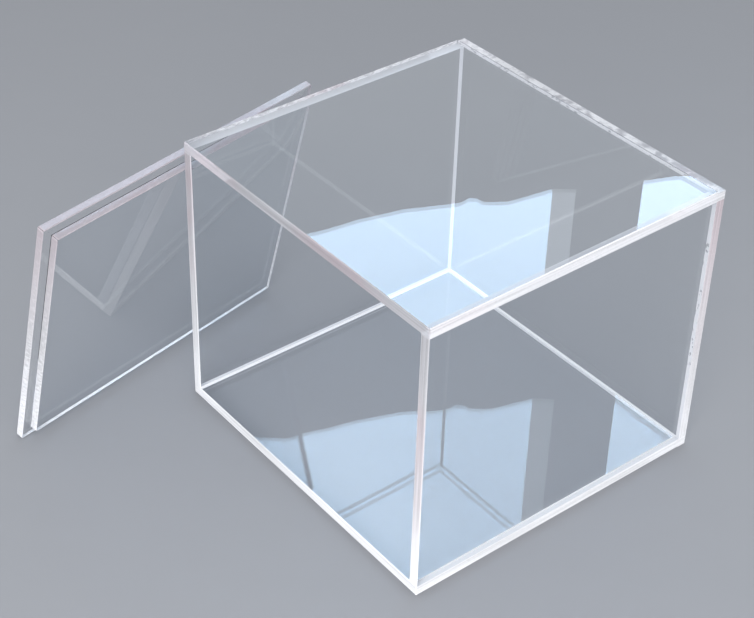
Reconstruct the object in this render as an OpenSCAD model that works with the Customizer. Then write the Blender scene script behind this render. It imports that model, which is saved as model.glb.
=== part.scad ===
// Clear sheet box lying on its side, with its loose plug lid leaning on the side wall.
// The origin is the centre of the box's underside: +X runs from the open mouth to the end panel,
// +Y runs across the box towards the lid, and +Z is up.

/* [Box] */
// Length from the open mouth to the outside of the end panel
box_l = 131; // [100:1:200]
// Width over the two side walls
box_w = 135; // [100:1:200]
// Height as it lies, over the top and bottom panels
box_h = 114; // [90:1:160]
// Thickness of the five box panels
wall_t = 4; // [3:0.5:6]
// How far the end panel stops short of the top panel's face
end_short = 0.6; // [0:0.1:1.5]

/* [Lid] */
// Thickness of each of the two lid sheets
lid_t = 3; // [2:0.5:5]
// How far the lid plate stays inside the box's outline at the side walls
lid_margin_w = 0.5; // [0:0.1:1.5]
// How far the lid plate stays inside the box's outline at the top and bottom panels
lid_margin_h = 2; // [0:0.1:2]
// Step from the edge of the lid plate to the edge of the plug
plug_step = 4; // [4:0.5:8]

/* [Edges] */
// Width of the flat taken off the free edges of the box
arris = 0.3; // [0.1:0.05:0.5]
// Width of the flat taken off every edge of the lid sheets
lid_arris = 0.25; // [0.1:0.05:0.5]
// Corner taken off each lid sheet
lid_corner = 0.8; // [0.5:0.1:2]

/* [Lid at rest] */
// Angle between the foot of the lid and the side wall, seen from above
lid_turn = 11.15; // [2:0.05:20]
// Lean of the lid towards the box
lid_lean = 13.8; // [5:0.1:20]
// Length of the lid's foot in front of the box corner that it leans on
lid_past = 63.7; // [20:0.1:100]
// Air left between the plug and the box corner
lid_gap = 0.2; // [0.1:0.1:1]

/* [Hidden] */
clear = [0.80, 0.87, 0.92, 0.45];
clear_edge = [0.88, 0.91, 0.94, 0.60];
mouth_x = -box_l / 2;
joint_x = box_l / 2 - wall_t;
inner_w = box_w - 2 * wall_t;
inner_h = box_h - 2 * wall_t;
lid_w = box_w - 2 * lid_margin_w;
lid_h = box_h - 2 * lid_margin_h;
plug_w = lid_w - 2 * plug_step;
plug_h = lid_h - 2 * plug_step;
// The plug's upper border touches the corner, so its height and depth set how far out the foot stands.
foot_out = (plug_step + plug_h) * sin(lid_lean) + lid_t * cos(lid_lean) + lid_gap;

// A bar of square section, standing on its corner, that takes the sharp edge off a sheet.
// Its middle is at the origin and it runs along the given axis.
module edge_bar(length, along, width) {
    turn = along == "x" ? [0, 90, 0] : along == "y" ? [90, 0, 0] : [0, 0, 0];
    rotate(turn)
        rotate(45)
            cube([width * sqrt(2), width * sqrt(2), length], center = true);
}

// Top or bottom panel, drawn as the top one: it runs over both side walls and butts on the end panel.
module cover_panel() {
    panel_l = box_l - wall_t;
    difference() {
        translate([mouth_x, -box_w / 2, box_h - wall_t])
            cube([panel_l, box_w, wall_t]);
        // outer and inner edges of the rim
        translate([mouth_x, 0, box_h])
            edge_bar(box_w + 2, "y", arris);
        translate([mouth_x, 0, box_h - wall_t])
            edge_bar(inner_w, "y", arris);
        // long outer edges and the upright ones at the mouth
        for (side = [-1, 1]) {
            translate([0, side * box_w / 2, box_h])
                edge_bar(box_l + 2, "x", arris);
            translate([mouth_x, side * box_w / 2, box_h - wall_t / 2])
                edge_bar(wall_t + 2, "z", arris);
        }
    }
}

// Side wall, drawn on the +Y side: it stands between the bottom and top panels.
module side_wall() {
    wall_l = box_l - wall_t;
    difference() {
        translate([mouth_x, box_w / 2 - wall_t, wall_t])
            cube([wall_l, wall_t, inner_h]);
        for (face_y = [box_w / 2 - wall_t, box_w / 2])
            translate([mouth_x, face_y, box_h / 2])
                edge_bar(inner_h, "z", arris);
    }
}

module end_panel() {
    panel_h = box_h - end_short;
    color(clear)
        difference() {
            translate([joint_x, -box_w / 2, 0])
                cube([wall_t, box_w, panel_h]);
            for (edge_z = [0, panel_h])
                translate([box_l / 2, 0, edge_z])
                    edge_bar(box_w + 2, "y", arris);
            for (side = [-1, 1])
                translate([box_l / 2, side * box_w / 2, box_h / 2])
                    edge_bar(box_h + 2, "z", arris);
        }
}

module top_panel() {
    color(clear) cover_panel();
}

module bottom_panel() {
    color(clear)
        translate([0, 0, box_h])
            mirror([0, 0, 1])
                cover_panel();
}

module front_wall() {
    color(clear)
        mirror([0, 1, 0])
            side_wall();
}

module rear_wall() {
    color(clear) side_wall();
}

// A lid sheet standing on its long edge, with every edge and corner eased.
// Its face nearer the box lies at y = 0 and its lower left corner is at the origin.
module lid_sheet(width, height) {
    difference() {
        rotate([90, 0, 0])
            translate([0, 0, -lid_t])
                linear_extrude(lid_t)
                    polygon([
                        [lid_corner, 0],
                        [width - lid_corner, 0],
                        [width, lid_corner],
                        [width, height - lid_corner],
                        [width - lid_corner, height],
                        [lid_corner, height],
                        [0, height - lid_corner],
                        [0, lid_corner]
                    ]);
        for (face_y = [0, lid_t]) {
            for (edge_z = [0, height])
                translate([width / 2, face_y, edge_z])
                    edge_bar(width + 2, "x", lid_arris);
            for (edge_x = [0, width])
                translate([edge_x, face_y, height / 2])
                    edge_bar(height + 2, "z", lid_arris);
        }
    }
}

// Puts the lid where it rests: its foot on the ground, its plug against the box's corner.
module lid_at_rest() {
    translate([mouth_x, box_w / 2, -lid_arris * sin(lid_lean)])
        rotate(lid_turn)
            translate([-lid_past, foot_out, 0])
                rotate([lid_lean, 0, 0])
                    children();
}

module lid_plate() {
    color(clear_edge)
        lid_at_rest()
            lid_sheet(lid_w, lid_h);
}

module lid_plug() {
    color(clear_edge)
        lid_at_rest()
            translate([plug_step, -lid_t, plug_step])
                lid_sheet(plug_w, plug_h);
}

end_panel();
top_panel();
bottom_panel();
front_wall();
rear_wall();
lid_plate();
lid_plug();
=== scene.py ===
"""Clear acrylic box lying on its side, with its loose lid leaning on it."""
import math

import bpy
from mathutils import Matrix, Vector


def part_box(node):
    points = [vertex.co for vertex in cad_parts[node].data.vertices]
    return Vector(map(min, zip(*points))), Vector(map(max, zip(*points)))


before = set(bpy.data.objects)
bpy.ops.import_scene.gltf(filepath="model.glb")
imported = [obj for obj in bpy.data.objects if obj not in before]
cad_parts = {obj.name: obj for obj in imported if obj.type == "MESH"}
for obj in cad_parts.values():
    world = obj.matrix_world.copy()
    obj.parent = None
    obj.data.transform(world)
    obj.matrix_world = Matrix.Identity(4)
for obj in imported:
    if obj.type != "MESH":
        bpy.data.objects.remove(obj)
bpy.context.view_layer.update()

# ---------------------------------------------------------------- sizes, in metres
WALL = 0.004
END_LOW, END_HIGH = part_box("end_panel")
TOP_LOW, TOP_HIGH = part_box("top_panel")
MOUTH_X = TOP_LOW[0]
END_X = END_LOW[0]
SIDE_Y = TOP_HIGH[1]
BOX_TOP = TOP_HIGH[2]
END_TOP = END_HIGH[2]
LOWER_THIRD = BOX_TOP / 3

# The lid's two sheets, and how it leans and is turned to the box
LID_W = 0.134
LID_H = 0.110
LID_T = 0.003
LID_ARRIS = 0.00025
PLUG_STEP = 0.004
LID_TURN = math.radians(11.15)
LID_LEAN = math.radians(13.8)
LID_PAST = 0.0637
LID_GAP = 0.0002

# How far in from a border a point counts as on the sawn edge, with the arris
EDGE = 0.00035
# How far the dried glue spreads past the joints along the bottom
BEAD = 0.0007
# How close to a plane a point counts as on it
NEAR = 0.00005

# ---------------------------------------------------------------- camera
CAMERA_AT = (-0.34435, -0.38020, 0.43587)
CAMERA_AZ = math.radians(-36.937)
CAMERA_EL = math.radians(34.886)
CAMERA_ROLL = math.radians(0.203)
CLIP_START = 0.01
SENSOR_MM = 36.0
PHOTO_W = 754
FOCAL_PX = 1745.3
CENTRE_PX = (-62.96, -63.65)


def make_camera():
    """Sets the camera that the photograph was taken from."""
    az, el = CAMERA_AZ, CAMERA_EL
    back = Vector((math.sin(az) * math.cos(el), -math.cos(az) * math.cos(el), math.sin(el)))
    level = Vector((math.cos(az), math.sin(az), 0))
    rise = back.cross(level)
    right = level * math.cos(CAMERA_ROLL) + rise * math.sin(CAMERA_ROLL)
    up = rise * math.cos(CAMERA_ROLL) - level * math.sin(CAMERA_ROLL)
    data = bpy.data.cameras.new("camera")
    data.sensor_fit = "HORIZONTAL"
    data.sensor_width = SENSOR_MM
    data.lens = FOCAL_PX * SENSOR_MM / PHOTO_W
    data.shift_x = -CENTRE_PX[0] / PHOTO_W
    data.shift_y = CENTRE_PX[1] / PHOTO_W
    data.clip_start = CLIP_START
    camera = bpy.data.objects.new("camera", data)
    bpy.context.collection.objects.link(camera)
    axes = Matrix((right, up, back)).transposed().to_4x4()
    camera.matrix_world = Matrix.Translation(CAMERA_AT) @ axes
    bpy.context.scene.camera = camera


# ---------------------------------------------------------------- node helpers
class Nodes:
    """Short ways to build one material's node tree. A mask is a number that is 1 where it holds."""

    def __init__(self, name):
        self.material = bpy.data.materials.new(name)
        self.material.use_nodes = True
        self.tree = self.material.node_tree
        self.tree.nodes.clear()

    def add(self, kind, **values):
        node = self.tree.nodes.new(kind)
        for key, value in values.items():
            setattr(node, key, value)
        return node

    def link(self, source, target):
        self.tree.links.new(source, target)

    def put(self, socket, value):
        """Feeds a socket from another socket, an (r, g, b) colour or a number."""
        if isinstance(value, bpy.types.NodeSocket):
            self.link(value, socket)
        elif isinstance(value, tuple):
            socket.default_value = (*value, 1)
        else:
            socket.default_value = value

    def place(self):
        """Where a point lies on its object."""
        return self.add("ShaderNodeTexCoord").outputs["Object"]

    def parts(self, point):
        """The point's three coordinates."""
        node = self.add("ShaderNodeSeparateXYZ")
        self.link(point, node.inputs[0])
        return node.outputs

    def math(self, operation, a, b=0.0):
        node = self.add("ShaderNodeMath", operation=operation)
        self.put(node.inputs[0], a)
        self.put(node.inputs[1], b)
        return node.outputs[0]

    def above(self, value, limit):
        return self.math("GREATER_THAN", value, limit)

    def below(self, value, limit):
        return self.math("LESS_THAN", value, limit)

    def near(self, value, centre):
        """A mask of the points on a plane."""
        return self.below(self.math("ABSOLUTE", self.math("SUBTRACT", value, centre)), NEAR)

    def without(self, mask):
        """The other points."""
        return self.math("SUBTRACT", 1.0, mask)

    def both(self, *masks):
        """The points in every mask."""
        result = masks[0]
        for mask in masks[1:]:
            result = self.math("MULTIPLY", result, mask)
        return result

    def either(self, *masks):
        """The points in any of the masks."""
        result = masks[0]
        for mask in masks[1:]:
            result = self.math("MAXIMUM", result, mask)
        return result

    def noise(self, point, scale, detail=2.0, roughness=0.5):
        node = self.add("ShaderNodeTexNoise")
        self.link(point, node.inputs["Vector"])
        node.inputs["Scale"].default_value = scale
        node.inputs["Detail"].default_value = detail
        node.inputs["Roughness"].default_value = roughness
        return node.outputs["Fac"]

    def saw_marks(self, point, scales, detail=2.0):
        """A noise with a scale of its own along each axis, so that it is drawn out into streaks."""
        node = self.add("ShaderNodeMapping")
        self.link(point, node.inputs["Vector"])
        node.inputs["Scale"].default_value = scales
        return self.noise(node.outputs[0], 1.0, detail)

    def ramp(self, value, low, high, out_low=0.0, out_high=1.0):
        """Takes low..high to out_low..out_high in a straight line, clamped."""
        node = self.add("ShaderNodeMapRange")
        self.put(node.inputs["Value"], value)
        node.inputs["From Min"].default_value = low
        node.inputs["From Max"].default_value = high
        node.inputs["To Min"].default_value = out_low
        node.inputs["To Max"].default_value = out_high
        return node.outputs["Result"]

    def blend(self, share, first, second, kind="MIX"):
        """A colour that goes from first to the blend with second as share goes from 0 to 1."""
        node = self.add("ShaderNodeMix", data_type="RGBA", blend_type=kind)
        self.put(node.inputs["Factor"], share)
        self.put(node.inputs["A"], first)
        self.put(node.inputs["B"], second)
        return node.outputs["Result"]

    def bump(self, height, strength, distance):
        node = self.add("ShaderNodeBump")
        self.link(height, node.inputs["Height"])
        node.inputs["Strength"].default_value = strength
        node.inputs["Distance"].default_value = distance
        return node.outputs["Normal"]

    def mix(self, mask, first, second):
        """The first shader where mask is 0, and the second where it is 1."""
        node = self.add("ShaderNodeMixShader")
        self.put(node.inputs[0], mask)
        self.link(first, node.inputs[1])
        self.link(second, node.inputs[2])
        return node.outputs[0]

    def clear(self, colour):
        node = self.add("ShaderNodeBsdfTransparent")
        self.put(node.inputs["Color"], colour)
        return node.outputs[0]

    def surface(self, colour, roughness, normal=None):
        node = self.add("ShaderNodeBsdfPrincipled")
        self.put(node.inputs["Base Color"], colour)
        node.inputs["Roughness"].default_value = roughness
        if normal is not None:
            self.link(normal, node.inputs["Normal"])
        return node

    def frosted(self, colour, roughness, normal=None):
        """A milky, slightly glossy surface, as of sawn or glued acrylic."""
        node = self.surface(colour, roughness, normal)
        node.inputs["IOR"].default_value = ACRYLIC_IOR
        return node.outputs[0]

    def glass(self, colour, roughness, normal, gleam=0.5):
        """Clear acrylic. gleam is how strongly it mirrors, and 0.5 is the real amount."""
        node = self.surface(colour, roughness, normal)
        node.inputs["IOR"].default_value = ACRYLIC_IOR
        node.inputs["Transmission Weight"].default_value = 1.0
        node.inputs["Specular IOR Level"].default_value = gleam
        return node.outputs[0]

    def finish(self, shader):
        output = self.add("ShaderNodeOutputMaterial")
        self.link(shader, output.inputs["Surface"])
        return self.material


# ---------------------------------------------------------------- acrylic
ACRYLIC_IOR = 1.49
FACE_COLOUR = (0.975, 0.985, 0.99)
EDGE_COLOUR = (0.97, 0.97, 0.98)
FROST_COLOUR = (0.95, 0.95, 0.97)
# Grey haze that is painted shade, for the sawn edges near the top
SHADED_FROST_COLOUR = (0.62, 0.615, 0.65)
TINT_COLOUR = (1.0, 0.86, 0.88)
GLUE_COLOUR = (0.97, 0.98, 0.99)
BUBBLE_COLOUR = (0.30, 0.31, 0.33)
# What a face and a sawn edge let through where they cast a shadow
SHADE_COLOUR = (0.915, 0.925, 0.94)
EDGE_SHADE_COLOUR = (0.25, 0.26, 0.29)

EDGE_ROUGH = 0.08
FROST_ROUGH = 0.28
MILK_ROUGH = 0.3
BUBBLE_ROUGH = 0.2

# Noises: scale per metre, detail and roughness
WAVE_NOISE = (6, 0.0)
PATCH_NOISE = (26, 2.0)
MOTTLE_NOISE = (260, 3.0, 0.6)
BUBBLE_NOISE = (380, 2.0, 0.6)
SPECKLE_NOISE = (1800, 2.0)
# Saw marks: scale along and across a streak of the box, and along each axis of the lid
STREAK_LONG = 25
STREAK_FINE = 1400
LID_STREAKS = (260, 420, 1300)
LID_STREAK_DETAIL = 3.0

# Bump strength and depth
WAVE_BUMP = (0.03, 0.0004)
GRAIN_BUMP = (0.12, 0.00008)

# Parts of a noise's range that make it run from 0 to 1
PATCH_RANGE = (0.50, 0.66)
MOTTLE_RANGE = (0.42, 0.62)
BUBBLE_RANGE = (0.60, 0.66)
MARK_RANGE = (0.30, 0.62)
LID_MARK_RANGE = (0.30, 0.58)

# The share of saw streaks in an edge's marks, the rest being speckle
STREAK_SHARE = 0.75
# The least share of white haze on an edge
LEAST_FROST = 0.72
MOST_BUBBLES = 0.8
# How much painted shade an edge gets at the top of the box, where less light is carried up the
# sheets: any edge at least, and the end panel's upright ones
LEAST_TOP_SHADE = 0.3
END_TOP_SHADE = 0.6
# How milky white the box's joints are, at the bottom and at the top: partly the glue film, partly
# painted light for the light carried along the sheets
MILK_AND_LIGHT_LOW, MILK_AND_LIGHT_HIGH = 0.95, 0.68
LID_PINK = 0.7
# The lid's faint milky white: glue film and painted light
LID_MILK_AND_LIGHT = 0.02
LID_SAW = 0.6
# The least streaking of the lid's edges: from and to which share of its height it rises, and its
# value there
LID_HAZE = (0.25, 0.75, 0.15, 0.5)
BOX_GLEAM = 0.5
LID_GLEAM = 0.12


def sawn_edge(nodes, place, marks, dim, pink):
    """A sawn edge: partly clear, partly hazed in white or rose, the haze turned grey and thinner by
    painted shade.
    """
    grain = nodes.bump(marks, *GRAIN_BUMP)
    clearer = nodes.glass(EDGE_COLOUR, EDGE_ROUGH, grain)
    patches = nodes.ramp(nodes.noise(place, *PATCH_NOISE), *PATCH_RANGE)
    # Painted shade turns the white haze grey and thins it
    white = nodes.blend(dim, FROST_COLOUR, SHADED_FROST_COLOUR)
    rosy = nodes.either(nodes.both(patches, dim), pink)
    haze = nodes.frosted(nodes.blend(rosy, white, TINT_COLOUR, "MULTIPLY"), FROST_ROUGH, grain)
    share = nodes.both(nodes.ramp(marks, *MARK_RANGE, LEAST_FROST, 1.0),
                       nodes.ramp(dim, 0.0, 1.0, 1.0, LEAST_FROST))
    return nodes.mix(share, clearer, haze)


def glue_joint(nodes, place, milk_and_light, airy):
    """Two faces glued together: clear to milky, with grey air bubbles where airy. The milky white
    is partly the glue film and partly painted light.
    """
    # Milky white that is partly glue film and partly painted light for light carried along the
    # sheets
    film_and_light = nodes.mix(milk_and_light, nodes.clear(GLUE_COLOUR), nodes.frosted(FROST_COLOUR, MILK_ROUGH))
    caught = nodes.ramp(nodes.noise(place, *BUBBLE_NOISE), *BUBBLE_RANGE, 0.0, MOST_BUBBLES)
    return nodes.mix(nodes.both(caught, airy), film_and_light, nodes.frosted(BUBBLE_COLOUR, BUBBLE_ROUGH))


def acrylic(nodes, place, edge, streaks, dim, pink, glue, milk_and_light, airy, gleam):
    """Polished faces, sawn edges and glue joints of one group of sheets.

    edge and glue are masks. streaks is the fine streaking along the edges, which run from white to
    clearer and greyer as dim, the painted shade, goes from 0 to 1, and take a rose tint with pink.
    The milky white of the glued faces is partly glue film and partly painted light for light
    carried along the sheets, airy is where air bubbles are caught in them, and gleam is how
    strongly the polished faces mirror.
    """
    waves = nodes.noise(place, *WAVE_NOISE)
    face = nodes.glass(FACE_COLOUR, 0.0, nodes.bump(waves, *WAVE_BUMP), gleam)
    speckle = nodes.noise(place, *SPECKLE_NOISE)
    marks = nodes.math("ADD", nodes.math("MULTIPLY", streaks, STREAK_SHARE),
                       nodes.math("MULTIPLY", speckle, 1 - STREAK_SHARE))
    body = nodes.mix(edge, face, sawn_edge(nodes, place, marks, dim, pink))
    body = nodes.mix(glue, body, glue_joint(nodes, place, milk_and_light, airy))
    # The sheets cast light shadows, and their edges darker ones.
    shade = nodes.mix(edge, nodes.clear(SHADE_COLOUR), nodes.clear(EDGE_SHADE_COLOUR))
    path = nodes.add("ShaderNodeLightPath")
    unlit = nodes.either(path.outputs["Is Shadow Ray"], path.outputs["Is Diffuse Ray"])
    return nodes.finish(nodes.mix(unlit, body, shade))


def box_edges(nodes, x, away, z, covers):
    """A mask of the mouth's rim, the covers' side borders and the end panel's outer borders."""
    side = nodes.above(away, SIDE_Y - EDGE)
    end_borders = nodes.either(side, nodes.above(z, END_TOP - EDGE), nodes.below(z, EDGE))
    return nodes.either(nodes.below(x, MOUTH_X + EDGE),
                        nodes.both(side, covers),
                        nodes.both(nodes.above(x, END_X), end_borders))


def box_glue(nodes, x, away, z, covers):
    """Two masks of the glued faces: on the end panel, and along the covers and walls."""
    on_wall = nodes.above(away, SIDE_Y - WALL)
    low = nodes.below(z, WALL + BEAD)
    on_end = nodes.both(nodes.near(x, END_X),
                        nodes.below(z, END_TOP),
                        nodes.either(on_wall, covers, low))
    under_top = nodes.both(nodes.near(z, BOX_TOP - WALL), on_wall)
    spread = nodes.either(nodes.above(away, SIDE_Y - WALL - BEAD), nodes.above(x, END_X - BEAD))
    over_bottom = nodes.both(nodes.near(z, WALL), spread)
    up_wall = nodes.both(nodes.near(away, SIDE_Y - WALL), low)
    along = nodes.both(nodes.either(under_top, over_bottom, up_wall), nodes.below(x, END_X + NEAR))
    return on_end, along


def box_acrylic():
    """The box's sheets: rims and outer borders are sawn, and the faces that meet are glued."""
    nodes = Nodes("clear_box_sheet")
    place = nodes.place()
    x, y, z = nodes.parts(place)
    away = nodes.math("ABSOLUTE", y)
    covers = nodes.either(nodes.above(z, BOX_TOP - WALL), nodes.below(z, WALL))
    at_end = nodes.above(x, END_X)
    on_end, along = box_glue(nodes, x, away, z, covers)

    level = nodes.saw_marks(place, (STREAK_LONG, STREAK_LONG, STREAK_FINE))
    upright = nodes.saw_marks(place, (STREAK_FINE, STREAK_FINE, STREAK_LONG))
    walls = nodes.without(covers)
    streaks = nodes.either(nodes.both(covers, level), nodes.both(walls, upright))

    rim = nodes.below(x, MOUTH_X + EDGE)
    upright_end = nodes.both(at_end, walls)
    mottle = nodes.ramp(nodes.noise(place, *MOTTLE_NOISE), *MOTTLE_RANGE)
    ledge = nodes.both(mottle, nodes.either(nodes.both(at_end, nodes.above(z, END_TOP - EDGE)),
                                            nodes.both(nodes.above(y, SIDE_Y - EDGE), covers)))
    # Painted shade, darker up the box: full on the mouth's rim, part on the end panel's upright
    # edges, mottled on its top border and the covers' rear borders, least elsewhere
    grey = nodes.either(rim, nodes.math("MULTIPLY", upright_end, END_TOP_SHADE), ledge)
    dim = nodes.both(nodes.ramp(z, 0.0, BOX_TOP), nodes.ramp(grey, 0.0, 1.0, LEAST_TOP_SHADE, 1.0))
    # Bubbles show along the end panel's top joint and in the upper part of its front joint.
    airy = nodes.both(on_end, nodes.above(z, LOWER_THIRD),
                      nodes.either(nodes.above(z, BOX_TOP - WALL), nodes.below(y, 0)))
    return acrylic(nodes, place,
                   edge=box_edges(nodes, x, away, z, covers),
                   streaks=streaks,
                   dim=dim,
                   pink=nodes.both(upright_end, nodes.ramp(z, LOWER_THIRD, BOX_TOP)),
                   glue=nodes.either(on_end, along),
                   # Milkier low down: glue film and painted light
                   milk_and_light=nodes.ramp(z, WALL, BOX_TOP - WALL, MILK_AND_LIGHT_LOW, MILK_AND_LIGHT_HIGH),
                   airy=airy,
                   gleam=BOX_GLEAM)


def on_lid(nodes):
    """A point in the lid's own axes: x along its foot, y through it and z up it."""
    reach = (LID_H - PLUG_STEP) * math.sin(LID_LEAN) + LID_T * math.cos(LID_LEAN) + LID_GAP
    corner = Vector((MOUTH_X, SIDE_Y, -LID_ARRIS * math.sin(LID_LEAN)))
    flat = nodes.add("ShaderNodeMapping", vector_type="TEXTURE")
    nodes.link(nodes.place(), flat.inputs["Vector"])
    flat.inputs["Location"].default_value = (
        corner + Matrix.Rotation(LID_TURN, 4, "Z") @ Vector((-LID_PAST, reach, 0)))
    flat.inputs["Rotation"].default_value = (LID_LEAN, 0, LID_TURN)
    return flat.outputs[0]


def lid_acrylic(name, step):
    """One lid sheet, step inside the lid's outline: sawn borders, and one face glued."""
    nodes = Nodes(name)
    place = on_lid(nodes)
    x, y, z = nodes.parts(place)
    glue = nodes.both(nodes.near(y, 0),
                      nodes.above(x, PLUG_STEP), nodes.below(x, LID_W - PLUG_STEP),
                      nodes.above(z, PLUG_STEP), nodes.below(z, LID_H - PLUG_STEP))
    # Painted shade, darker up the lid
    dim = nodes.ramp(z, 0.0, LID_H)
    marks = nodes.saw_marks(place, LID_STREAKS, LID_STREAK_DETAIL)
    saw = nodes.ramp(marks, *LID_MARK_RANGE, 0.0, LID_SAW)
    return acrylic(nodes, place,
                   edge=nodes.either(nodes.below(x, step + EDGE),
                                     nodes.above(x, LID_W - step - EDGE),
                                     nodes.below(z, step + EDGE),
                                     nodes.above(z, LID_H - step - EDGE)),
                   streaks=nodes.either(saw, nodes.ramp(dim, *LID_HAZE)),
                   dim=dim,
                   pink=nodes.both(nodes.below(x, LID_W / 2),
                                   nodes.ramp(z, LID_H / 2, LID_H, 0.0, LID_PINK)),
                   glue=glue,
                   milk_and_light=LID_MILK_AND_LIGHT,
                   airy=0.0,
                   gleam=LID_GLEAM)


def dress(node, material):
    """Gives a node its finished material."""
    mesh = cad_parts[node].data
    mesh.materials.clear()
    mesh.materials.append(material)


# ---------------------------------------------------------------- studio
FLOOR_COLOUR = (0.33, 0.334, 0.352)
FLOOR_ROUGH = 0.6
FLOOR_HALF = 4.0
FLOOR_DROP = 0.0002
FLOOR_NOISE = (30, 3.0)
FLOOR_BUMP = (0.15, 0.002)
SKY_COLOUR = (0.90, 0.94, 1.0)
SKY_STRENGTH = 0.60
# Each lamp: its name, place, aim, size and power
LAMPS = (
    ("softbox_high", (-0.5, -0.9, 1.4), (0, 0, 0), (1.1, 1.1), 12),
    ("softbox_low", (-1.1, -0.9, 0.45), (0, 0, 0.05), (0.9, 0.7), 19),
)
# The windows are flat bright cards, square to this compass direction at this distance
WINDOW_AZ = math.radians(43)
WINDOW_FAR = 0.70
WINDOW_TOP = 1.15
# Each window: its name, brightness, colour and lower border, as (across, height)
WINDOWS = (
    ("window_wide", 5.4, (0.58, 0.78, 1.0),
     ((-0.50, 0.66), (-0.15, 0.640), (-0.108, 0.624), (-0.086, 0.614),
      (-0.046, 0.600), (-0.012, 0.593), (0.001, 0.590), (0.007, 0.585),
      (0.013, 0.5845), (0.020, 0.588), (0.040, 0.586), (0.075, 0.571))),
    ("window_dim", 1.5, (0.85, 0.92, 1.0), ((0.075, 0.571), (0.094, 0.570))),
    ("window_side", 6.2, (0.60, 0.79, 1.0), ((0.147, 0.558), (0.170, 0.552), (0.50, 0.52))),
)


def flat_object(name, points):
    """A flat object of one face."""
    mesh = bpy.data.meshes.new(name)
    mesh.from_pydata(points, [], [tuple(range(len(points)))])
    flat = bpy.data.objects.new(name, mesh)
    bpy.context.collection.objects.link(flat)
    return flat


def make_floor():
    """A plain grey floor, barely uneven, a hair below the box."""
    half = FLOOR_HALF
    corners = [(-half, -half, 0), (half, -half, 0), (half, half, 0), (-half, half, 0)]
    floor = flat_object("floor", corners)
    floor.location.z = -FLOOR_DROP
    nodes = Nodes("floor_grey")
    uneven = nodes.bump(nodes.noise(nodes.place(), *FLOOR_NOISE), *FLOOR_BUMP)
    shader = nodes.surface(FLOOR_COLOUR, FLOOR_ROUGH, uneven)
    floor.data.materials.append(nodes.finish(shader.outputs[0]))


def make_window(name, strength, colour, border):
    """A bright card that only mirrors in the acrylic."""
    facing = Vector((math.sin(WINDOW_AZ), math.cos(WINDOW_AZ), 0))
    across = Vector((facing.y, -facing.x, 0))
    outline = list(border) + [(border[-1][0], WINDOW_TOP), (border[0][0], WINDOW_TOP)]
    card = flat_object(name, [facing * WINDOW_FAR + across * side + Vector((0, 0, height))
                              for side, height in outline])
    nodes = Nodes(name)
    glow = nodes.add("ShaderNodeEmission")
    nodes.put(glow.inputs["Color"], colour)
    nodes.put(glow.inputs["Strength"], strength)
    card.data.materials.append(nodes.finish(glow.outputs[0]))
    card.visible_camera = False
    card.visible_diffuse = False
    card.visible_shadow = False


def make_sky():
    """An even, faintly cool light from all round."""
    world = bpy.data.worlds.new("studio")
    world.use_nodes = True
    light = world.node_tree.nodes["Background"]
    light.inputs["Color"].default_value = (*SKY_COLOUR, 1)
    light.inputs["Strength"].default_value = SKY_STRENGTH
    bpy.context.scene.world = world


def make_lamp(name, at, aim, size, power):
    """A soft lamp that isn't seen in the acrylic itself."""
    data = bpy.data.lights.new(name, "AREA")
    data.shape = "RECTANGLE"
    data.size, data.size_y = size
    data.energy = power
    lamp = bpy.data.objects.new(name, data)
    bpy.context.collection.objects.link(lamp)
    lamp.location = at
    lamp.rotation_euler = (Vector(aim) - Vector(at)).to_track_quat("-Z", "Y").to_euler()
    lamp.visible_glossy = False
    lamp.visible_transmission = False


make_camera()
BOX_SHEET = box_acrylic()
for piece in ("end_panel", "top_panel", "bottom_panel", "front_wall", "rear_wall"):
    dress(piece, BOX_SHEET)
dress("lid_plate", lid_acrylic("clear_lid_plate", 0.0))
dress("lid_plug", lid_acrylic("clear_lid_plug", PLUG_STEP))
make_floor()
make_sky()
for window in WINDOWS:
    make_window(*window)
for lamp in LAMPS:
    make_lamp(*lamp)

bpy.context.scene.view_settings.view_transform = "Standard"
bpy.context.view_layer.update()
